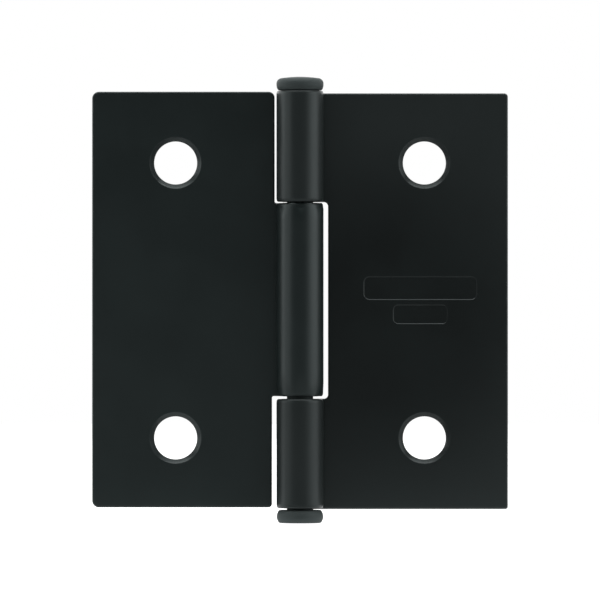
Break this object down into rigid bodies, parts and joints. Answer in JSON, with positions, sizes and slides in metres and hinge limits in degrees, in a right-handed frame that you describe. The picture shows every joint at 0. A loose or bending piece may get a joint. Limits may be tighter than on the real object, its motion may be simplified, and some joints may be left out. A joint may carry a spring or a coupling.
{
  "type": "door hinge",
  "caption": "Square butt hinge in black-coated sheet steel: a two-knuckle leaf and a one-knuckle leaf turn on a riveted pin, with countersunk screw holes.",
  "frame": {"origin": "on the pin axis, halfway up the frame leaf; the centre of the open hinge's box lies 0.17 mm above it", "axes": "+Z along the pin towards its formed head, +X towards the frame leaf, -Y towards the side where the barrel stands proud and the screw holes are countersunk; the backs of both leaves face +Y"},
  "size_m": [0.0508, 0.0058, 0.0544],
  "materials": {
    "leaf_coating": "satin black coating over sheet steel",
    "pin_coating": "satin black coating over a drawn steel pin"
  },
  "bodies": {
    "frame_side": {"frame_leaf": "leaf_coating"},
    "door_side": {"door_leaf": "leaf_coating"},
    "pin": {"hinge_pin": "pin_coating"}
  },
  "joints": [
    {"name": "leaf_swing", "type": "hinge", "parent": "frame_side", "child": "door_side", "pos_m": [0, 0, 0], "axis": [0, 0, 1], "range_deg": [-90, 187]},
    {"name": "pin_turn", "type": "hinge", "parent": "frame_side", "child": "pin", "pos_m": [0, 0, 0], "axis": [0, 0, 1], "continuous": true}
  ]
}
